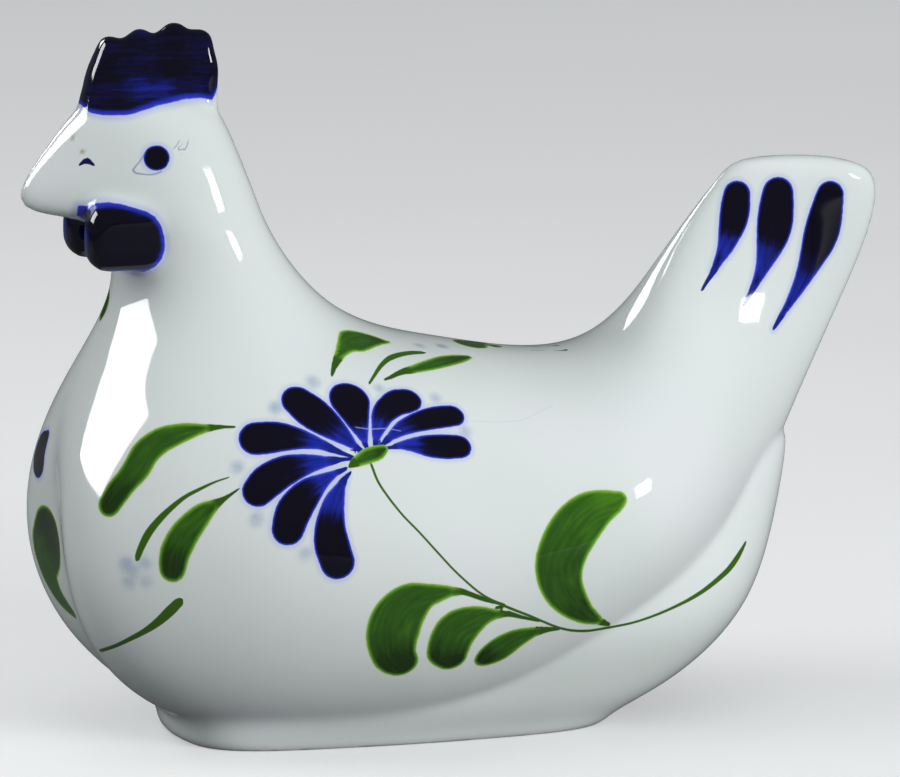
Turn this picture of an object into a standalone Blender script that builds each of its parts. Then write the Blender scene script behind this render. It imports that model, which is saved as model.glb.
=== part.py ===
"""A sitting hen of slip-cast, glazed porcelain, one piece with a flat foot.

Blender units are metres, +Z is up. The hen faces -X, its two sides face -Y and +Y, and it stands
on the plane Z = 0. The sizes below are in millimetres, as such a figure is measured.
"""
import math
from collections import namedtuple

import bmesh
import bpy
from mathutils import Vector

MM = 0.001
SUBDIVISIONS = 2
ARC_STEPS = 4
QUARTER = 90
BEVEL_STEPS = 2

# The hen's main sizes, over the corners of the cage that the skin is rounded from. The tables of
# points below are its drawing, and are stretched to these sizes.
LENGTH = 200.0
WIDTH = 102.0
HEIGHT = 158.0

# A station is one section of the skin, square to the plane of symmetry. It runs from a point of
# the back to a point of the front (x, z), and half is its half width across that plane.
# full is 1 for an ellipse and less for a boxier section, lean moves the widest place towards the
# front, taper draws the front end in, and groove parts the front into two lobes.
Station = namedtuple("Station", "back front half full lean taper groove",
                     defaults=(1.0, 0.0, 0.0, 0.0))

# The stations fan round the hollow of the back, from the crown to the top of the tail.
HEAD = [
    Station((-56.5, 143.0), (-80.0, 143.5), 6.0),
    Station((-51.5, 138.5), (-84.8, 139.5), 11.0, taper=0.1),
    Station((-47.5, 129.0), (-91.3, 131.8), 14.0, lean=-0.1, taper=0.5),
    Station((-45.0, 122.5), (-99.0, 122.0), 15.5, lean=-0.2, taper=0.7),
    Station((-43.5, 118.5), (-97.0, 116.8), 16.0, lean=-0.2, taper=0.7),
    Station((-42.0, 114.5), (-79.0, 115.5), 16.5, taper=0.2),
]
NECK = [
    Station((-38.0, 107.0), (-76.0, 104.0), 17.5),
    Station((-32.0, 99.5), (-78.5, 94.5), 20.5),
    Station((-24.0, 93.0), (-85.5, 83.0), 27.0, lean=0.05),
]
BODY = [
    Station((-12.5, 88.8), (-93.0, 68.0), 36.5, lean=0.10, groove=2.5),
    Station((-1.0, 87.2), (-94.8, 48.0), 44.5, full=0.95, lean=0.15, groove=11.0),
    Station((9.0, 86.2), (-91.3, 24.0), 49.5, full=0.9, lean=0.15, taper=0.05, groove=8.0),
    Station((17.0, 85.2), (-72.0, 1.5), 51.0, full=0.8, lean=0.10, taper=0.15, groove=2.0),
    Station((25.0, 84.4), (-20.0, -6.0), 50.5, full=0.8, lean=0.05, taper=0.12),
    Station((31.0, 84.6), (30.0, 5.5), 47.5, full=0.8, lean=0.03, taper=0.25),
    Station((36.0, 86.8), (59.0, 28.0), 37.0, full=0.9, lean=0.05, taper=0.15),
]
TAIL = [
    Station((42.0, 93.0), (74.0, 52.0), 22.0, full=0.9, taper=0.2),
    Station((48.5, 103.0), (81.5, 68.5), 12.0, full=0.8),
    Station((56.5, 113.5), (91.5, 89.0), 6.5, full=0.6),
    Station((62.5, 120.5), (100.5, 108.5), 5.0, full=0.5),
    Station((67.0, 124.0), (101.0, 123.0), 4.6, full=0.5),
]
# Where the corners of a station lie, in degrees from its back round one side to its front. The
# corner before the front one carries the lobe beside the groove: as the groove deepens, it moves
# forward and to the side by these shares of it.
SKIN_ANGLES = (0, 33, 66, 95, 125, 158, 180)
LOBE_SHARE = 0.6
LOBE_SPREAD = 0.6
TAPER_POWER = 1.5

# A level is one flat section of the rump and the foot. The foot is drawn down past the plane it
# stands on, and is cut off there.
Level = namedtuple("Level", "z front rear half full")
RUMP = [
    Level(-3.0, -66.0, 33.0, 27.5, 0.5),
    Level(2.0, -67.0, 36.5, 28.5, 0.5),
    Level(7.0, -69.5, 49.0, 32.5, 0.6),
    Level(14.0, -60.0, 60.5, 35.5, 0.7),
    Level(24.0, -50.0, 70.0, 39.8, 0.8),
    Level(35.0, -45.0, 75.5, 38.0, 0.9),
    Level(47.0, -34.0, 79.0, 31.0, 1.0),
    Level(58.0, -20.0, 81.0, 23.0, 1.0),
    Level(66.0, 0.0, 80.5, 10.0, 1.0),
]
RUMP_ANGLES = (0, 30, 60, 90, 120, 150, 180)

# Comb: an upright plate with four rounded points, each a centre (x, z) and a radius. The arc of a
# point runs over its top, from one angle to the other in degrees.
COMB_POINTS = (((-76.8, 153.4), 2.2), ((-69.9, 154.0), 2.8), ((-62.3, 155.0), 3.0), ((-56.6, 153.8), 2.6))
COMB_FRONT = ((-83.6, 140.0), (-81.8, 147.0), (-79.4, 153.0))
COMB_REAR = ((-53.5, 151.0), (-52.8, 147.0), (-53.2, 141.0))
COMB_ARC = (160, 20)
COMB_SINK = 7.0
COMB_THICK = 9.0
COMB_EDGE = 2.6

# Wattles: two pads under the beak, round at their corners. Their middle (x, z) is a point of the
# drawing.
WATTLE_MIDDLE = (-76.1, 113.0)
WATTLE_LENGTH = 17.6
WATTLE_HEIGHT = 15.4
WATTLE_THICK = 7.5
WATTLE_SPREAD = 21.0
WATTLE_CORNER = 5.0
WATTLE_EDGE = 2.6

# Underside: a ground rim round a shallow recess, with the vent that every cast hollow needs.
RIM_WIDTH = 5.0
RECESS_DEPTH = 1.5
VENT_DIAMETER = 7.0
VENT_DEPTH = 6.0
VENT_X = -15.0
VENT_SIDES = 24

PORCELAIN = (0.80, 0.83, 0.82, 1.0)
COBALT = (0.008, 0.008, 0.09, 1.0)
GLAZE_ROUGHNESS = 0.08


def clear_scene():
    for thing in list(bpy.data.objects):
        bpy.data.objects.remove(thing)


def collection(name):
    group = bpy.data.collections.new(name)
    bpy.context.scene.collection.children.link(group)
    return group


def drawing():
    """Length, width and height of the drawing in the tables."""
    stations = HEAD + NECK + BODY + TAIL
    ends = [end[0] for station in stations for end in (station.back, station.front)]
    tops = [centre[1] + radius for centre, radius in COMB_POINTS]
    return max(ends) - min(ends), 2 * max(station.half for station in stations), max(tops)


def stretch():
    """How much the drawing grows along X, Y and Z to reach the main sizes."""
    length, width, height = drawing()
    return Vector((LENGTH / length, WIDTH / width, HEIGHT / height))


def placed(x, y, z):
    """Point of the drawing as a place on the hen, in metres."""
    return Vector((x, y, z)) * stretch() * MM


def glaze(name, colour):
    material = bpy.data.materials.new(name)
    material.use_nodes = True
    shader = material.node_tree.nodes["Principled BSDF"]
    shader.inputs["Base Color"].default_value = colour
    shader.inputs["Roughness"].default_value = GLAZE_ROUGHNESS
    shader.inputs["Metallic"].default_value = 0.0
    return material


def object_from(shape, name, group, material):
    """New object that holds a bmesh, with its faces pointing out."""
    bmesh.ops.recalc_face_normals(shape, faces=shape.faces)
    mesh = bpy.data.meshes.new(name)
    shape.to_mesh(mesh)
    shape.free()
    mesh.materials.append(material)
    thing = bpy.data.objects.new(name, mesh)
    group.objects.link(thing)
    return thing


def whole_turn(half_turn):
    """Angles of a whole turn in radians, from those of one side in degrees."""
    mirrored = [360 - angle for angle in half_turn[-2:0:-1]]
    return [math.radians(angle) for angle in list(half_turn) + mirrored]


def rounded(value, full):
    """Sine or cosine bent from that of an ellipse to that of a boxier section."""
    return 0.0 if abs(value) < 1e-9 else math.copysign(abs(value) ** full, value)


def station_ring(station):
    """Corners of one station, from the back round the -Y side to the front and back again."""
    back = Vector((station.back[0], station.back[1]))
    front = Vector((station.front[0], station.front[1]))
    middle = (back + front) / 2
    reach = (back - front) / 2
    front_angle = math.radians(SKIN_ANGLES[-1])
    lobe_angle = math.radians(SKIN_ANGLES[-2])
    corners = []
    for turn in whole_turn(SKIN_ANGLES):
        along = math.cos(turn)
        across = rounded(math.sin(turn), station.full)
        width = station.half * (1 - station.taper * max(0.0, -along) ** TAPER_POWER)
        place = along - station.lean * across * across
        y = -width * across
        if math.isclose(turn, front_angle):
            place += station.groove / reach.length
        elif math.isclose(abs(turn - front_angle), front_angle - lobe_angle):
            place -= LOBE_SHARE * station.groove / reach.length
            y += math.copysign(LOBE_SPREAD * station.groove, y)
        x, z = middle + reach * place
        corners.append(placed(x, y, z))
    return corners


def level_ring(level, inset=0.0):
    """Corners of one level of the rump, drawn in by inset."""
    middle = (level.front + level.rear) / 2
    reach = (level.rear - level.front) / 2 - inset
    corners = []
    for turn in whole_turn(RUMP_ANGLES):
        x = middle + reach * rounded(math.cos(turn), level.full)
        y = -(level.half - inset) * rounded(math.sin(turn), level.full)
        corners.append(placed(x, y, level.z))
    return corners


def loft(name, rings, group, material):
    """Closed cage through rings of corners, made smooth by Subdivision Surface."""
    cage = bmesh.new()
    rows = [[cage.verts.new(corner) for corner in ring] for ring in rings]
    for lower, upper in zip(rows, rows[1:]):
        for k, corner in enumerate(lower):
            after = (k + 1) % len(lower)
            cage.faces.new((corner, lower[after], upper[after], upper[k]))
    cage.faces.new(reversed(rows[0]))
    cage.faces.new(rows[-1])
    body = object_from(cage, name, group, material)
    smooth = body.modifiers.new("smooth", "SUBSURF")
    smooth.levels = SUBDIVISIONS
    smooth.render_levels = SUBDIVISIONS
    return body


def arc(centre, radius, first, last):
    """Points (x, z) round a centre, from the first angle to the last in degrees."""
    points = []
    for k in range(ARC_STEPS + 1):
        turn = math.radians(first + (last - first) * k / ARC_STEPS)
        points.append((centre[0] + radius * math.cos(turn), centre[1] + radius * math.sin(turn)))
    return points


def plate(name, outline, thick, edge, y, group, material):
    """Upright plate with rounded edges, its outline (x, z) in millimetres moved to y."""
    curve = bpy.data.curves.new(name, "CURVE")
    curve.dimensions = "2D"
    curve.fill_mode = "BOTH"
    curve.extrude = (thick / 2 - edge) * MM
    curve.bevel_depth = edge * MM
    curve.bevel_resolution = BEVEL_STEPS
    curve.offset = -edge * MM
    spline = curve.splines.new("POLY")
    spline.points.add(len(outline) - 1)
    for point, (x, z) in zip(spline.points, outline):
        point.co = (x * MM, z * MM, 0, 1)
    spline.use_cyclic_u = True
    flat = bpy.data.objects.new(name + "_outline", curve)
    group.objects.link(flat)
    flat.rotation_euler.x = math.radians(90)
    flat.location.y = y * MM
    bpy.context.view_layer.update()
    evaluated = flat.evaluated_get(bpy.context.evaluated_depsgraph_get())
    shape = bmesh.new()
    shape.from_mesh(bpy.data.meshes.new_from_object(evaluated))
    bmesh.ops.remove_doubles(shape, verts=shape.verts, dist=0.00001)
    solid = object_from(shape, name, group, material)
    solid.matrix_world = flat.matrix_world
    bpy.data.objects.remove(flat)
    return solid


def comb_outline():
    sunk_front = (COMB_FRONT[0][0], COMB_FRONT[0][1] - COMB_SINK)
    sunk_rear = (COMB_REAR[-1][0], COMB_REAR[-1][1] - COMB_SINK)
    points = []
    for centre, radius in COMB_POINTS:
        points += arc(centre, radius, *COMB_ARC)
    drawn = [sunk_front, *COMB_FRONT, *points, *COMB_REAR, sunk_rear]
    grown = stretch()
    return [(x * grown.x, z * grown.z) for x, z in drawn]


def wattle_outline():
    outline = []
    grown = stretch()
    middle = (WATTLE_MIDDLE[0] * grown.x, WATTLE_MIDDLE[1] * grown.z)
    for turns, (sign_x, sign_z) in enumerate(((1, 1), (1, -1), (-1, -1), (-1, 1))):
        centre = (middle[0] + sign_x * (WATTLE_LENGTH / 2 - WATTLE_CORNER),
                  middle[1] + sign_z * (WATTLE_HEIGHT / 2 - WATTLE_CORNER))
        first = QUARTER * (1 - turns)
        outline += arc(centre, WATTLE_CORNER, first, first - QUARTER)
    return outline


def recess(group, material):
    """Shallow hollow inside the rim of the foot."""
    foot = RUMP[0]._replace(z=-RECESS_DEPTH)
    shape = bmesh.new()
    floor = shape.faces.new([shape.verts.new(corner) for corner in level_ring(foot, RIM_WIDTH)])
    walls = bmesh.ops.extrude_face_region(shape, geom=[floor])
    raised = [part for part in walls["geom"] if isinstance(part, bmesh.types.BMVert)]
    for corner in raised:
        corner.co.z = RECESS_DEPTH * MM
    return object_from(shape, "recess", group, material)


def vent(group, material):
    shape = bmesh.new()
    bmesh.ops.create_cone(shape, cap_ends=True, segments=VENT_SIDES, radius1=VENT_DIAMETER / 2 * MM,
                          radius2=VENT_DIAMETER / 2 * MM, depth=2 * VENT_DEPTH * MM)
    hole = object_from(shape, "vent", group, material)
    hole.location.x = VENT_X * MM
    return hole


def below_ground(group, material):
    """Block whose top is the plane that the hen stands on."""
    side = 2 * LENGTH * MM
    shape = bmesh.new()
    bmesh.ops.create_cube(shape, size=side)
    block = object_from(shape, "below_ground", group, material)
    block.location.z = -side / 2
    return block


def join(body, tool, operation):
    step = body.modifiers.new(tool.name, "BOOLEAN")
    step.operation = operation
    step.solver = "EXACT"
    step.material_mode = "TRANSFER"
    step.object = tool
    tool.hide_render = True
    tool.display_type = "WIRE"


def centre_on_origin(root, body):
    """Move the whole figure so that the middle of its length lies on X = 0."""
    bpy.context.view_layer.update()
    evaluated = body.evaluated_get(bpy.context.evaluated_depsgraph_get())
    places = [(evaluated.matrix_world @ Vector(corner)).x for corner in evaluated.bound_box]
    root.location.x = -(min(places) + max(places)) / 2


def build():
    clear_scene()
    figure = collection("porcelain_hen")
    tools = collection("joined_and_cut")
    white = glaze("white_porcelain", PORCELAIN)
    blue = glaze("cobalt_underglaze", COBALT)

    hen = loft("hen", [station_ring(s) for s in HEAD + NECK + BODY + TAIL], figure, white)
    hen.data.materials.append(blue)
    join(hen, loft("rump", [level_ring(level) for level in RUMP], tools, white), "UNION")
    join(hen, plate("comb", comb_outline(), COMB_THICK, COMB_EDGE, 0, tools, blue), "UNION")
    for side in (-1, 1):
        y = side * WATTLE_SPREAD / 2
        pad = plate("wattle", wattle_outline(), WATTLE_THICK, WATTLE_EDGE, y, tools, blue)
        join(hen, pad, "UNION")
    join(hen, below_ground(tools, white), "DIFFERENCE")
    join(hen, recess(tools, white), "DIFFERENCE")
    join(hen, vent(tools, white), "DIFFERENCE")

    root = bpy.data.objects.new("hen_frame", None)
    figure.objects.link(root)
    for thing in [hen, *tools.objects]:
        thing.parent = root
    centre_on_origin(root, hen)


build()
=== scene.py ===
# %% [markdown]
# # A painted porcelain hen
# This lesson dresses a sitting hen of glazed porcelain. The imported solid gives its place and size.
# On it goes a smoother skin, cobalt and green brush strokes, and a clear gloss glaze over all.
# The solid comes in first, and its box is kept, because nothing may grow past it.

import math

import bmesh
import bpy
import numpy as np
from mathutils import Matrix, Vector
from mathutils.bvhtree import BVHTree


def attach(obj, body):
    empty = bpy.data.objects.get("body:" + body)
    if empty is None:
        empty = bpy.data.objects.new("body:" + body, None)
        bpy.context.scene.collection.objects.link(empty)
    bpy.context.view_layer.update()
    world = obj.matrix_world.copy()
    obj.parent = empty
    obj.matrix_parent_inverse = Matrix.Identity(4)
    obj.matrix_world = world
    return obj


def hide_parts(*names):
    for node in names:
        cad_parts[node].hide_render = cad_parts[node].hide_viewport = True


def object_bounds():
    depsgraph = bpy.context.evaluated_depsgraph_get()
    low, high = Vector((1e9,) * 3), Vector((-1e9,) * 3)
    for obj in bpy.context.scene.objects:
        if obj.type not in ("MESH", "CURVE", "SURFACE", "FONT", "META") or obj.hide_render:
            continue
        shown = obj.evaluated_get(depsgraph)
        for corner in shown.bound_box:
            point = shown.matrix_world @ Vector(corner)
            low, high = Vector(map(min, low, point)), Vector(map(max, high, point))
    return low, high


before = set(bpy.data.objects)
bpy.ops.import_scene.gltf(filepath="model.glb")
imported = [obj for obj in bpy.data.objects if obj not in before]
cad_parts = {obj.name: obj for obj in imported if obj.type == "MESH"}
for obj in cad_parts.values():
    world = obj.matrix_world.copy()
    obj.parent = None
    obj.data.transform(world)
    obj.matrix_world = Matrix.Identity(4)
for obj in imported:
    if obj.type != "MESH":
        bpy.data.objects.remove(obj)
solid_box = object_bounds()
MM = 0.001
print("solid box, mm:", [[round(c / MM, 1) for c in corner] for corner in solid_box])

# %% [markdown]
# ## Two small helpers
# Colours are written as sRGB hex values, the way a colour picker shows them, and one function turns
# them into the linear light that the shader counts in. Another adds a shader node with its settings
# and links in one line, so that a material reads like a list.

# %% Colour and node helpers
def linear(code):
    """A hex colour as linear red, green, blue and alpha."""
    parts = [int(code[k:k + 2], 16) / 255 for k in (0, 2, 4)]
    return (*[p / 12.92 if p < 0.04045 else ((p + 0.055) / 1.055) ** 2.4 for p in parts], 1.0)


def add(tree, kind, inputs=None, stops=(), **fields):
    """New node. An input takes a value, or the socket that feeds it; stops are (place, hex)."""
    made = tree.nodes.new(kind)
    for name, value in fields.items():
        setattr(made, name, value)
    for name, value in (inputs or {}).items():
        if isinstance(value, bpy.types.NodeSocket):
            tree.links.new(value, made.inputs[name])
        else:
            made.inputs[name].default_value = value
    for number, (place, code) in enumerate(stops):
        ramp = made.color_ramp.elements
        stop = ramp[number] if number < len(ramp) else ramp.new(place)
        stop.position, stop.color = place, linear(code)
    return made


# %% [markdown]
# ## The camera
# The picture was taken from the hen's left front, a little above its back, with a long lens: the
# foot and the wattles fit a camera 1.4 m away, 16 degrees round towards the head and 10 degrees up.

# %% Camera
AZIMUTH = -16.0
ELEVATION = 10.0
DISTANCE = 1.4
PICTURE = (900, 777)
FOCAL_PIXELS = 6300.0
AIM = Vector((-0.0014, 0.0, 0.0739))

turn, tilt = math.radians(AZIMUTH), math.radians(ELEVATION)
back = Vector((math.sin(turn) * math.cos(tilt), -math.cos(turn) * math.cos(tilt), math.sin(tilt)))
lens = bpy.data.cameras.new("camera")
lens.sensor_width = 36.0
lens.lens = FOCAL_PIXELS * lens.sensor_width / PICTURE[0]
camera = bpy.data.objects.new("camera", lens)
camera.location = AIM + back * DISTANCE
camera.rotation_mode = "QUATERNION"
camera.rotation_quaternion = (-back).to_track_quat("-Z", "Y")
bpy.context.scene.collection.objects.link(camera)
bpy.context.scene.camera = camera
bpy.context.scene.view_settings.view_transform = "Standard"
right = (-back).cross(Vector((0, 0, 1))).normalized()
upward = right.cross(-back)
print("lens, mm:", round(lens.lens, 1))


def sight(px, py):
    """Direction in which a pixel of the picture looks from the camera."""
    along = -back * FOCAL_PIXELS + right * (px - PICTURE[0] / 2) + upward * (PICTURE[1] / 2 - py)
    return along.normalized()


# %% [markdown]
# ## The skin
# The hen was cast from liquid clay in a plaster mould, so its skin runs from the crown down the
# neck, round the breast, over the folded wings and up the tail in one sweep. It is modelled as that
# sweep: a ring of corners is extruded from station to station, and each new ring is set in place.
# A Subdivision Surface then rounds the cage as wet clay rounds.
#
# A station runs from a point of the back to a point of the front. `half` is its half width, `full`
# makes it boxier, `lean` moves the widest place, `taper` draws the front in and `groove` parts the
# breast into two lobes.

# %% Stations of the skin
HEAD = [
    dict(back=(-56.5, 143.0), front=(-80.0, 143.5), half=6.0),
    dict(back=(-51.5, 138.5), front=(-84.8, 139.5), half=11.0, taper=0.1),
    dict(back=(-47.5, 129.0), front=(-91.3, 131.8), half=14.0, lean=-0.1, taper=0.5),
    dict(back=(-45.0, 122.5), front=(-99.0, 122.0), half=15.5, lean=-0.2, taper=0.7),
    dict(back=(-43.5, 118.5), front=(-97.0, 116.8), half=16.0, lean=-0.2, taper=0.7),
    dict(back=(-42.0, 114.5), front=(-79.0, 115.5), half=16.5, taper=0.2),
]
NECK = [
    dict(back=(-38.0, 107.0), front=(-76.0, 104.0), half=17.5),
    dict(back=(-32.0, 99.5), front=(-78.5, 94.5), half=20.5),
    dict(back=(-24.0, 93.0), front=(-85.5, 83.0), half=27.0, lean=0.05),
]
BODY = [
    dict(back=(-12.5, 88.8), front=(-93.0, 68.0), half=36.5, lean=0.10, groove=2.5),
    dict(back=(-1.0, 87.2), front=(-94.8, 48.0), half=44.5, full=0.95, lean=0.15, groove=11.0),
    dict(back=(9.0, 86.2), front=(-91.3, 24.0), half=49.5, full=0.9, lean=0.15, taper=0.05, groove=8.0),
    dict(back=(17.0, 85.2), front=(-72.0, 1.5), half=51.0, full=0.8, lean=0.10, taper=0.15, groove=2.0),
    dict(back=(25.0, 84.4), front=(-20.0, -6.0), half=50.5, full=0.8, lean=0.05, taper=0.12),
    dict(back=(31.0, 84.6), front=(30.0, 5.5), half=47.5, full=0.8, lean=0.03, taper=0.25),
    dict(back=(36.0, 86.8), front=(59.0, 28.0), half=37.0, full=0.9, lean=0.05, taper=0.15),
]
TAIL = [
    dict(back=(42.0, 93.0), front=(74.0, 52.0), half=22.0, full=0.9, taper=0.2),
    dict(back=(48.5, 103.0), front=(81.5, 68.5), half=12.0, full=0.8),
    dict(back=(56.5, 113.5), front=(91.5, 89.0), half=6.5, full=0.6),
    dict(back=(62.5, 120.5), front=(100.5, 108.5), half=5.0, full=0.5),
    dict(back=(67.0, 124.0), front=(101.0, 123.0), half=4.6, full=0.5),
]
SKIN_ANGLES = (0, 33, 66, 95, 125, 158, 180)
LOBE_SHARE = 0.6
LOBE_SPREAD = 0.6
TAPER_POWER = 1.5


def whole_turn(half_turn):
    """Angles of a whole turn, from those of one side in degrees."""
    return [math.radians(a) for a in [*half_turn, *[360 - a for a in half_turn[-2:0:-1]]]]


def boxed(value, full):
    """Sine or cosine, bent from that of an ellipse to that of a boxier section."""
    return 0.0 if abs(value) < 1e-9 else math.copysign(abs(value) ** full, value)


def station_ring(back, front, half, full=1.0, lean=0.0, taper=0.0, groove=0.0):
    """Corners of one station, from the back round the left side to the front and home."""
    rear, fore = Vector((back[0], 0, back[1])), Vector((front[0], 0, front[1]))
    middle, reach = (rear + fore) / 2, (rear - fore) / 2
    corners = []
    for k, angle in enumerate(whole_turn(SKIN_ANGLES)):
        along, across = math.cos(angle), boxed(math.sin(angle), full)
        place = along - lean * across * across
        y = -half * (1 - taper * max(0.0, -along) ** TAPER_POWER) * across
        past_front = abs(k - (len(SKIN_ANGLES) - 1))
        if past_front == 0:
            place += groove / reach.length
        elif past_front == 1:
            place -= LOBE_SHARE * groove / reach.length
            y += math.copysign(LOBE_SPREAD * groove, y)
        corners.append((middle + reach * place + Vector((0, y, 0))) * MM)
    return corners


# %% [markdown]
# ## Extruding ring by ring
# By hand this is E, then scale, turn and move, once for each station. Here the new ring's corners
# are set straight to their places. The first and last ring are filled, so the cage is closed.

# %% Loft helper
SMOOTH_LEVELS = 4


def loft(name, rings):
    """Closed, smooth form through rings of corners, extruded one after another."""
    bpy.ops.object.select_all(action="DESELECT")
    bpy.ops.mesh.primitive_circle_add(vertices=len(rings[0]), radius=0.01, fill_type="NGON")
    form = bpy.context.object
    form.name = form.data.name = name
    for vertex, corner in zip(form.data.vertices, rings[0]):
        vertex.co = corner
    bpy.ops.object.mode_set(mode="EDIT")
    for ring in rings[1:]:
        bpy.ops.mesh.extrude_region_move()
        cage = bmesh.from_edit_mesh(form.data)
        cage.verts.ensure_lookup_table()
        for vertex, corner in zip(cage.verts[:][-len(ring):], ring):
            vertex.co = corner
        bmesh.update_edit_mesh(form.data)
    bpy.ops.mesh.select_all(action="SELECT")
    bpy.ops.mesh.normals_make_consistent(inside=False)
    bpy.ops.object.mode_set(mode="OBJECT")
    smooth = form.modifiers.new("smooth", "SUBSURF")
    smooth.levels = smooth.render_levels = SMOOTH_LEVELS
    bpy.ops.object.modifier_apply(modifier="smooth")
    print(name, "faces:", len(form.data.polygons))
    return form


hen = loft("glazed_hen", [station_ring(**s) for s in HEAD + NECK + BODY + TAIL])

# %% [markdown]
# ## The rump and the foot
# Under the tail sits the rump, a second rounded mass that the wings lie over. It is the same kind of
# loft, laid flat: each level gives its height, its front and rear end and its half width. It runs on
# below the table top, to be cut off there.

# %% Rump
RUMP = [
    dict(z=-3.0, front=-66.0, rear=33.0, half=27.5, full=0.5),
    dict(z=2.0, front=-67.0, rear=36.5, half=28.5, full=0.5),
    dict(z=7.0, front=-69.5, rear=49.0, half=32.5, full=0.6),
    dict(z=14.0, front=-60.0, rear=60.5, half=35.5, full=0.7),
    dict(z=24.0, front=-50.0, rear=70.0, half=39.8, full=0.8),
    dict(z=35.0, front=-45.0, rear=75.5, half=38.0, full=0.9),
    dict(z=47.0, front=-34.0, rear=79.0, half=31.0, full=1.0),
    dict(z=58.0, front=-20.0, rear=81.0, half=23.0, full=1.0),
    dict(z=66.0, front=0.0, rear=80.5, half=10.0, full=1.0),
]
RUMP_ANGLES = (0, 30, 60, 90, 120, 150, 180)


def level_ring(z, front, rear, half, full, inset=0.0):
    """Corners of one level, drawn in by inset."""
    middle, reach, wide = (front + rear) / 2, (rear - front) / 2 - inset, half - inset
    return [Vector((middle + reach * boxed(math.cos(a), full), -wide * boxed(math.sin(a), full), z)) * MM
            for a in whole_turn(RUMP_ANGLES)]


rump = loft("rump", [level_ring(**level) for level in RUMP])

# %% [markdown]
# ## Comb and wattles
# The comb is an upright slab with four blunt points, and the wattles are two pads under the beak.
# Each is a flat outline with a thickness and a rounded edge, which is what a 2D curve with Extrude
# and Bevel gives. The curve is made a mesh before it is put in its place.

# %% Comb and wattles
COMB_POINTS = (((-76.8, 153.4), 2.2), ((-69.9, 154.0), 2.8), ((-62.3, 155.0), 3.0), ((-56.6, 153.8), 2.6))
COMB_FRONT = [(-83.6, 133.0), (-83.6, 140.0), (-81.8, 147.0), (-79.4, 153.0)]
COMB_REAR = [(-53.5, 151.0), (-52.8, 147.0), (-53.2, 141.0), (-53.2, 134.0)]
COMB_THICK = 9.0
WATTLE_MIDDLE = (-76.1, 113.0)
WATTLE_SIZE = (17.6, 15.4)
WATTLE_THICK = 7.5
WATTLE_CORNER = 5.0
WATTLE_SPREAD = 21.0
ROUND_EDGE = 2.6


def arc(centre, radius, first, last, steps=4):
    """Points round a centre, from the first angle to the last in degrees."""
    angles = [math.radians(first + (last - first) * k / steps) for k in range(steps + 1)]
    return [(centre[0] + radius * math.cos(a), centre[1] + radius * math.sin(a)) for a in angles]


def pad(name, outline, thick, y):
    """Upright slab with a round edge, its outline square to the hen's side."""
    curve = bpy.data.curves.new(name, "CURVE")
    curve.dimensions, curve.fill_mode = "2D", "BOTH"
    curve.extrude = (thick / 2 - ROUND_EDGE) * MM
    curve.bevel_depth, curve.bevel_resolution = ROUND_EDGE * MM, 4
    curve.offset = -ROUND_EDGE * MM
    line = curve.splines.new("POLY")
    line.points.add(len(outline) - 1)
    for point, (x, z) in zip(line.points, outline):
        point.co = (x * MM, z * MM, 0, 1)
    line.use_cyclic_u = True
    slab = bpy.data.objects.new(name, curve)
    bpy.context.scene.collection.objects.link(slab)
    bpy.ops.object.select_all(action="DESELECT")
    slab.select_set(True)
    bpy.context.view_layer.objects.active = slab
    bpy.ops.object.convert(target="MESH")
    slab.rotation_euler.x, slab.location.y = math.radians(90), y * MM
    bpy.ops.object.transform_apply(location=True, rotation=True, scale=True)
    bpy.ops.object.mode_set(mode="EDIT")
    bpy.ops.mesh.select_all(action="SELECT")
    bpy.ops.mesh.remove_doubles(threshold=0.00001)
    bpy.ops.mesh.normals_make_consistent(inside=False)
    bpy.ops.object.mode_set(mode="OBJECT")
    return slab


points = [p for centre, radius in COMB_POINTS for p in arc(centre, radius, 160, 20)]
comb = pad("comb", COMB_FRONT + points + COMB_REAR, COMB_THICK, 0)
corner_x, corner_z = WATTLE_SIZE[0] / 2 - WATTLE_CORNER, WATTLE_SIZE[1] / 2 - WATTLE_CORNER
rim = []
for side_x, side_z, first in ((1, 1, 90), (1, -1, 0), (-1, -1, -90), (-1, 1, -180)):
    centre = (WATTLE_MIDDLE[0] + side_x * corner_x, WATTLE_MIDDLE[1] + side_z * corner_z)
    rim += arc(centre, WATTLE_CORNER, first, first - 90)
wattles = [pad("wattle", rim, WATTLE_THICK, side * WATTLE_SPREAD / 2) for side in (-1, 1)]
print("faces of comb and wattles:", [len(form.data.polygons) for form in (comb, *wattles)])

# %% [markdown]
# ## Helpers for the casting
# A modifier is added and applied at once, as with Ctrl+A over its panel. The mesh's points are also
# read as rows of numbers, so that a smooth step between two heights can pick out a part of the hen.

# %% Mesh helpers
def apply(form, kind, **fields):
    """One modifier, added and applied."""
    bpy.ops.object.select_all(action="DESELECT")
    form.select_set(True)
    bpy.context.view_layer.objects.active = form
    step = form.modifiers.new("step", kind)
    for name, value in fields.items():
        setattr(step, name, value)
    bpy.ops.object.modifier_apply(modifier="step")


def combine(form, tool, operation):
    apply(form, "BOOLEAN", operation=operation, solver="EXACT", object=tool)
    bpy.data.objects.remove(tool)


def corners_of(form):
    """The mesh's points as rows of x, y and z in millimetres."""
    rows = np.empty(len(form.data.vertices) * 3)
    form.data.vertices.foreach_get("co", rows)
    return rows.reshape(-1, 3) / MM


def between(values, nothing, all_of_it):
    """Smooth step from 0 at one value to 1 at the other."""
    t = np.clip((values - nothing) / (all_of_it - nothing), 0, 1)
    return t * t * (3 - 2 * t)


# %% [markdown]
# ## One casting
# The parts are joined with exact Booleans and the result is remeshed in small even squares. A few
# passes of Smooth fill the joints, as slip and glaze fill every valley. Where the real hen is
# softer still, at the front of the foot, the tops of the wattles and the root and points of the
# comb, a vertex group tells Smooth to go on.

# %% Join, remesh, smooth
VOXEL = 0.92
ALL_OVER_PASSES = 3

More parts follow.
